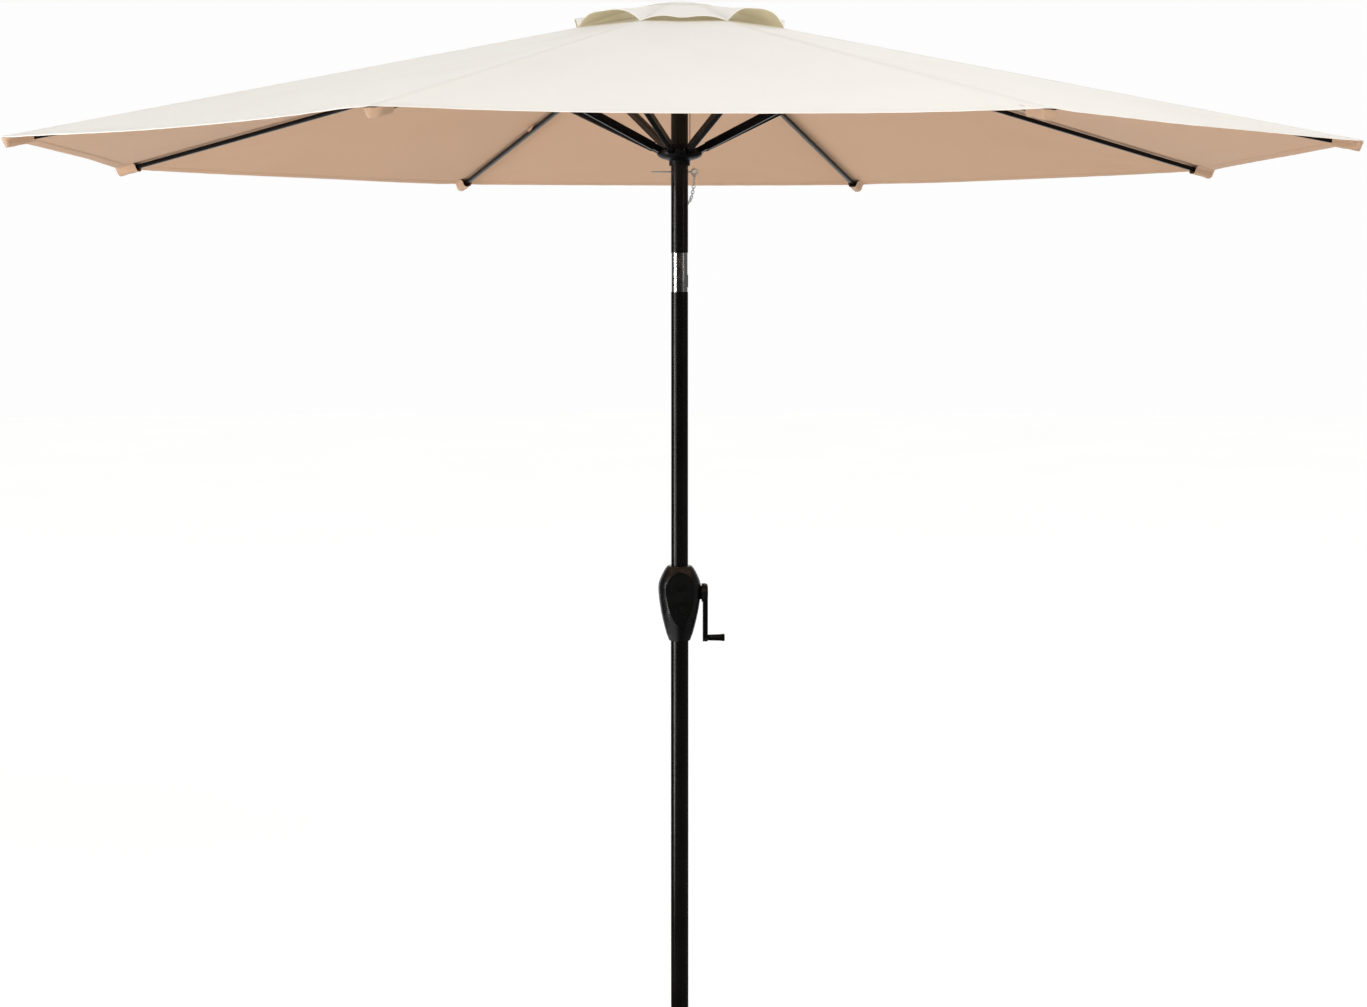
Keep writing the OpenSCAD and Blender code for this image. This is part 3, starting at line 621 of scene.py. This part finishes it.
# ---------------------------------------------------------------- tie tab
def tie_tab():
    """A small folded tab of cloth sewn beside a rib on the underside."""
    rows, cols, rib = 10, 13, 3
    width, reach, start = 0.038, 0.020, 0.880
    side = turned((0, 1, 0), rib_angle(rib))
    front, back, cloth_map, seam_map = [], [], [], []
    for k in range(rows):
        t = k / (rows - 1)
        row_front, row_back = [], []
        for j in range(cols):
            c = j / (cols - 1)
            far = t * reach * (0.30 + 0.70 * math.sin(PI * (0.06 + 0.88 * c)) ** 0.6)
            along = start + width * c + 0.10 * far * (c - 0.3)
            out = 0.0075 + far * (0.62 - 0.9 * far / reach * 0.25)
            down = -0.0028 - far * (0.45 + 0.35 * far / reach) - 0.0010 * t * math.sin(7 * c + 1)
            for row, thick in ((row_front, 0.0), (row_back, 0.0009)):
                row.append(rib_place(rib, along, down - thick * 0.8) + side * (out - thick * 0.6))
            cloth_map.append((c * width + 0.1, 0.0115 + t * 0.02))
            seam_map.append((t * 0.04, 0.0115 + c * width))
        front.append(row_front)
        back.append(row_back)
    # both faces take the tan copy of the cloth, painted shade
    piece = cloth_piece("tie_tab", front, back, {"cloth": cloth_map, "seam": seam_map}, [SHADED_POCKET, SHADED_POCKET], -1)
    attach(piece, "rib_3")


tie_tab()


# ---------------------------------------------------------------- runner
RUNNER_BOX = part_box("runner")
RUNNER_Z0, COLLAR_TOP = RUNNER_BOX[0].z, RUNNER_BOX[1].z
EYE_R, EYE_Z = 0.040, RUNNER_Z0 + 0.031


def lathe(name, profile, segments, materials, shape=None, spin=None):
    """A solid of revolution round Z from a closed profile of (radius, height).
    shape moves a point by its angle, and spin places the whole."""
    points, faces, count = [], [], len(profile)
    for k in range(segments):
        a = 2 * PI * k / segments
        for r, z in profile:
            if shape:
                r, z = shape(r, z, a)
            points.append(turned((r, 0, z), a))
    for k in range(segments):
        for n in range(count):
            m = (n + 1) % count
            q = ((k + 1) % segments) * count
            faces.append((k * count + n, q + n, q + m, k * count + m))
    if spin is not None:
        points = [spin @ p for p in points]
    return add_piece(name, points, faces, materials)


def rounded(profile, reach=0.0006, steps=3):
    """A closed profile with each corner replaced by a short curve."""
    out, count = [], len(profile)
    for n in range(count):
        a, b, c = (Vector(profile[(n + k) % count]) for k in (-1, 0, 1))
        u, w = min(reach, (a - b).length * 0.4), min(reach, (c - b).length * 0.4)
        p, q = b + (a - b).normalized() * u, b + (c - b).normalized() * w
        for k in range(steps + 1):
            t = k / steps
            out.append(tuple((1 - t) ** 2 * p + 2 * t * (1 - t) * b + t ** 2 * q))
    return out


def near_rib(a):
    """How far an angle is from the nearest rib's, in radians."""
    return abs((a - HALF + PI / 8) % (PI / 4) - PI / 8)


def runner_bowl():
    """The runner: a collar on the pole and a bowl with eight pairs of ears, each with a strut's pin."""
    z = RUNNER_Z0
    bore, notch_r, notch_z = 0.0194, 0.0465, RUNNER_Z0 + 0.0245
    ear_inside, ear_outside = 0.0046, 0.0068
    outer = [(bore, z), (0.0222, z), (0.0230, z + 0.0010), (0.0230, z + 0.0105), (0.0255, z + 0.0125),
             (0.0320, z + 0.0140), (0.0400, z + 0.0165), (0.0460, z + 0.0200), (0.0492, z + 0.0235),
             (0.0500, z + 0.0270), (0.0500, z + 0.0325), (0.0490, z + 0.0330), (0.0478, z + 0.0325),
             (0.0468, z + 0.0262), (0.0435, z + 0.0222), (0.0385, z + 0.0192), (0.0305, z + 0.0178),
             (0.0285, z + 0.0200), (0.0280, z + 0.0300), (0.0270, COLLAR_TOP - 0.0010),
             (0.0262, COLLAR_TOP), (bore, COLLAR_TOP)]
    profile = rounded(outer, 0.0007, 2)

    def notch(r, h, a):
        """The bowl's rim dips where each strut leaves it."""
        if r > notch_r and h > notch_z:
            dip = 1 - smooth(0.0068, 0.0086, near_rib(a) * r)
            h -= (h - notch_z) * dip * 0.96
        return r, h

    body = lathe("runner_bowl", profile, 256, [RUNNER], notch)
    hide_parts("runner")
    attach(body, "runner")
    ear = [(0.0290, 0.0176), (0.0468, 0.0230), (0.0470, 0.0300), (0.0452, 0.0352), (0.0425, 0.0378),
           (0.0400, 0.0386), (0.0375, 0.0378), (0.0350, 0.0356), (0.0290, 0.0330)]
    count = len(ear)
    head = [(0, -0.0084), (0.0030, -0.0084), (0.0034, -0.0078), (0.0034, -0.0070), (0.0019, -0.0070),
            (0.0019, 0.0070), (0.0032, 0.0070), (0.0032, 0.0076), (0.0022, 0.0086), (0, 0.0088)]
    for i in RIBS:
        a = rib_angle(i)
        points, faces = [], []
        for near, far in ((ear_inside, ear_outside), (-ear_outside, -ear_inside)):
            base = len(points)
            for y in (near, far):
                points += [turned((x, y, z + h), a) for x, h in ear]
            for k in range(count):
                m = (k + 1) % count
                faces.append((base + k, base + m, base + count + m, base + count + k))
            faces.append(tuple(base + k for k in reversed(range(count))))
            faces.append(tuple(base + count + k for k in range(count)))
        ears = add_piece(f"runner_ears_{i}", points, faces, [RUNNER])
        for f in ears.data.polygons:
            f.use_smooth = False
        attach(ears, "runner")
        turn = Matrix.Translation((EYE_R * math.cos(a), EYE_R * math.sin(a), EYE_Z))
        turn = turn @ Matrix.Rotation(a, 4, "Z") @ Matrix.Rotation(PI / 2, 4, "X")
        pin = lathe(f"runner_pin_{i}", head, 20, [STEEL], spin=turn)
        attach(pin, "runner")


runner_bowl()


# ---------------------------------------------------------------- crank collar
def crank_collar():
    """The collar between the housing and the crank arm, on the axle."""
    arm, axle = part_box("crank_arm"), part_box("crank_axle")
    axis_z = (axle[0].z + axle[1].z) / 2
    turn = Matrix.Translation((arm[0].x, 0, axis_z)) @ Matrix.Rotation(PI / 2, 4, "Y")
    profile = [(0.0045, -0.0034), (0.0150, -0.0034), (0.0156, -0.0026), (0.0156, -0.0004), (0.0150, 0.0004),
               (0.0045, 0.0004)]
    collar = lathe("crank_collar", rounded(profile, 0.0006, 2), 48, [CRANK], spin=turn)
    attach(collar, "crank")


crank_collar()


# ---------------------------------------------------------------- chain, its anchor and the lift cord
PIN_Z = (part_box("lock_pin")[0].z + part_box("lock_pin")[1].z) / 2
# The chain's line from the pin's ring to the rivet, as (x, y, height from the pin)
CHAIN = [(0.033, 0, -0.0072), (0.0324, 0.0006, -0.022), (0.0306, 0.0025, -0.036), (0.028, 0.0062, -0.050),
         (0.0244, 0.011, -0.061), (0.0189, 0.0164, -0.0675), (0.0121, 0.0218, -0.069), (0.0051, 0.0243, -0.064),
         (0.0, 0.0246, -0.054)]


def along_path(path, gap):
    """Points at even steps along a polyline, with the direction at each."""
    out, carry = [], 0.0
    for a, b in zip(path, path[1:]):
        leg = (b - a).length
        d = carry
        while d <= leg:
            out.append((a + (b - a) * (d / leg), (b - a).normalized()))
            d += gap
        carry = d - leg
    return out


# A link's half length and half width, its wire's radius, and the step from one link to the next
LINK_LONG, LINK_WIDE, LINK_WIRE, LINK_STEP = 0.0044, 0.0034, 0.00085, 0.0062


def chain():
    """The lock pin's chain of oval links, each a quarter turn from the last, and its rivet on the pole."""
    path = [Vector((x, y, PIN_Z + z)) for x, y, z in CHAIN]
    points, faces, around, tube = [], [], 20, 8
    for n, (centre, ahead) in enumerate(along_path(path, LINK_STEP)):
        across = ahead.cross(Vector((0, 0, 1) if abs(ahead.z) < 0.9 else (0, 1, 0))).normalized()
        across = Matrix.Rotation(PI / 2 * (n % 2) + 0.12 * math.sin(5 * n), 3, ahead) @ across
        normal = ahead.cross(across)
        base = len(points)
        for k in range(around):
            a = 2 * PI * k / around
            middle = centre + ahead * (LINK_LONG * math.cos(a)) + across * (LINK_WIDE * math.sin(a))
            outward = (ahead * (LINK_WIDE * math.cos(a)) + across * (LINK_LONG * math.sin(a))).normalized()
            for j in range(tube):
                b = 2 * PI * j / tube
                points.append(middle + (outward * math.cos(b) + normal * math.sin(b)) * LINK_WIRE)
        for k in range(around):
            for j in range(tube):
                m, q = (j + 1) % tube, ((k + 1) % around) * tube
                faces.append((base + k * tube + j, base + q + j, base + q + m, base + k * tube + m))
    piece = add_piece("chain_links", points, faces, [STEEL])
    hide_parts("pin_chain")
    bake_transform(piece)
    anchor = Matrix.Translation((0, 0.0186, path[-1].z + 0.001)) @ Matrix.Rotation(-PI / 2, 4, "X")
    profile = [(0, 0), (0.0040, 0), (0.0040, 0.0010), (0.0030, 0.0020), (0.0018, 0.0026), (0.0018, 0.0052),
               (0.0028, 0.0056), (0.0026, 0.0066), (0, 0.0072)]
    rivet = lathe("chain_rivet", profile, 24, [STEEL], spin=anchor)
    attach(rivet, "upper_pole")


chain()


def cord_drop():
    """The lift cord from the pulley down to the runner, with the ridges of its braid."""
    low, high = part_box("lift_cord_drop")
    x, y = (low.x + high.x) / 2, (low.y + high.y) / 2
    sides, gap, radius = 14, 0.0005, 0.00095
    rings = int((high.z - low.z) / gap) + 1
    points, faces = [Vector((x, y, low.z))], []
    for k in range(rings):
        z = low.z + (high.z - low.z) * k / (rings - 1)
        for j in range(sides):
            a = 2 * PI * j / sides
            strand = abs(math.sin(2 * a + z * 1500)) * abs(math.sin(2 * a - z * 1500))
            r = radius * (0.90 + 0.14 * strand)
            points.append(Vector((x + r * math.cos(a), y + r * math.sin(a), z)))
    points.append(Vector((x, y, high.z)))
    for k in range(rings - 1):
        for j in range(sides):
            m = (j + 1) % sides
            a, b = 1 + k * sides, 1 + (k + 1) * sides
            faces.append((a + j, a + m, b + m, b + j))
    last = 1 + (rings - 1) * sides
    for j in range(sides):
        m = (j + 1) % sides
        faces.append((0, 1 + m, 1 + j))
        faces.append((len(points) - 1, last + j, last + m))
    piece = add_piece("lift_cord_braid", points, faces, [CORD])
    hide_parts("lift_cord_drop")
    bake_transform(piece)


cord_drop()


# ---------------------------------------------------------------- stage and light
def make_floor():
    """A wide sheet of pale paper that glows with painted light to wash out shadows, a little brighter far from
    the object.
    """
    size, rings, spokes = 30.0, 24, 48
    points = [(0, 0, 0)]
    for r in range(1, rings + 1):
        radius = size * (r / rings) ** 1.6
        for k in range(spokes):
            a = 2 * PI * k / spokes
            points.append((radius * math.cos(a), radius * math.sin(a), 0))
    faces = [(0, 1 + k, 1 + (k + 1) % spokes) for k in range(spokes)]
    for r in range(rings - 1):
        base = 1 + r * spokes
        for k in range(spokes):
            n = (k + 1) % spokes
            faces.append((base + k, base + spokes + k, base + spokes + n, base + n))
    m = Nodes("floor_paper")
    soft = m.noise(m.coords(), 0.6, 2.0)
    m.set(Base_Color=m.mix(m.ramp(soft, 0.3, 0.7), (0.86, 0.86, 0.86), (0.88, 0.88, 0.875)), Roughness=0.9)
    place = m.split(m.coords())
    squares = [m.math("MULTIPLY", place[k], place[k]) for k in (0, 1)]
    away = m.math("SQRT", m.math("ADD", *squares))
    m.set(Specular_IOR_Level=0.1, Emission_Color=(0.985, 0.992, 1.0, 1.0))
    # painted light: the floor's glow, stronger far from the object
    m.set(Emission_Strength=m.ramp(away, 2.5, 8.0, 0.23, 0.47))
    floor = add_piece("floor", points, faces, [m.mat])
    floor.visible_glossy = False


def make_world():
    """White behind the object, an even fill, and a separate room for what the dark parts mirror."""
    world = bpy.data.worlds.new("studio")
    bpy.context.scene.world = world
    world.use_nodes = True
    tree = world.node_tree
    tree.nodes.clear()
    out = tree.nodes.new("ShaderNodeOutputWorld")
    path = tree.nodes.new("ShaderNodeLightPath")
    seen, gloss, fill = (tree.nodes.new("ShaderNodeBackground") for _ in range(3))
    seen.inputs[0].default_value, seen.inputs[1].default_value = (1, 1, 1, 1), 0.985
    # mirrored in the dark parts: a dim room, paler on the right, white straight behind and low on the left
    side = tree.nodes.new("ShaderNodeSeparateXYZ")
    tree.links.new(tree.nodes.new("ShaderNodeTexCoord").outputs["Generated"], side.inputs[0])

    def patch(axis, start, end, low, high):
        """A brightness that goes from low to high along one axis of the world."""
        node = tree.nodes.new("ShaderNodeMapRange")
        node.interpolation_type = "SMOOTHSTEP"
        for name, value in (("From Min", start), ("From Max", end), ("To Min", low), ("To Max", high)):
            node.inputs[name].default_value = value
        tree.links.new(side.outputs[axis], node.inputs["Value"])
        return node.outputs["Result"]

    def combine(operation, a, b):
        node = tree.nodes.new("ShaderNodeMath")
        node.operation = operation
        tree.links.new(a, node.inputs[0])
        tree.links.new(b, node.inputs[1])
        return node.outputs[0]

    low_left = combine("MULTIPLY", patch(0, -0.15, -0.50, 0.0, 1.0), patch(2, -0.34, -0.50, 0.0, 0.9))
    walls = combine("MAXIMUM", patch(0, 0.30, 0.85, 0.03, 0.15), patch(1, 0.66, 0.86, 0.0, 1.1))
    tree.links.new(combine("MAXIMUM", walls, low_left), gloss.inputs[1])
    fill.inputs[0].default_value, fill.inputs[1].default_value = (1.0, 0.99, 0.975, 1), 0.62
    first, second = tree.nodes.new("ShaderNodeMixShader"), tree.nodes.new("ShaderNodeMixShader")
    tree.links.new(path.outputs["Is Glossy Ray"], first.inputs[0])
    tree.links.new(fill.outputs[0], first.inputs[1])
    tree.links.new(gloss.outputs[0], first.inputs[2])
    tree.links.new(path.outputs["Is Camera Ray"], second.inputs[0])
    tree.links.new(first.outputs[0], second.inputs[1])
    tree.links.new(seen.outputs[0], second.inputs[2])
    tree.links.new(second.outputs[0], out.inputs[0])


def area_light(name, place, target, size, power, colour=(1, 1, 1)):
    data = bpy.data.lights.new(name, "AREA")
    data.shape, data.size, data.size_y = "RECTANGLE", size[0], size[1]
    data.energy, data.color = power, colour
    light = bpy.data.objects.new(name, data)
    bpy.context.scene.collection.objects.link(light)
    light.location = place
    light.rotation_euler = (Vector(target) - Vector(place)).to_track_quat("-Z", "Y").to_euler()


make_floor()
make_world()
area_light("key", (1.7, -5.2, 5.2), (0, 0, 2.0), (2.4, 2.4), 172.0, (1.0, 0.985, 0.96))
area_light("strip_left", (-4.9, -1.3, 1.15), (0, 0, 1.15), (0.9, 3.8), 165.0)
area_light("strip_front", (-3.9, -2.6, 1.1), (0, 0, 1.1), (0.5, 2.6), 36.0)
area_light("fill_right", (4.6, -3.4, 3.2), (0, 0, 1.8), (0.8, 2.4), 14.0)
area_light("back", (1.5, 5.0, 4.6), (0, 0, 2.2), (3.0, 2.0), 110.0)

bpy.context.scene.view_settings.view_transform = "Standard"
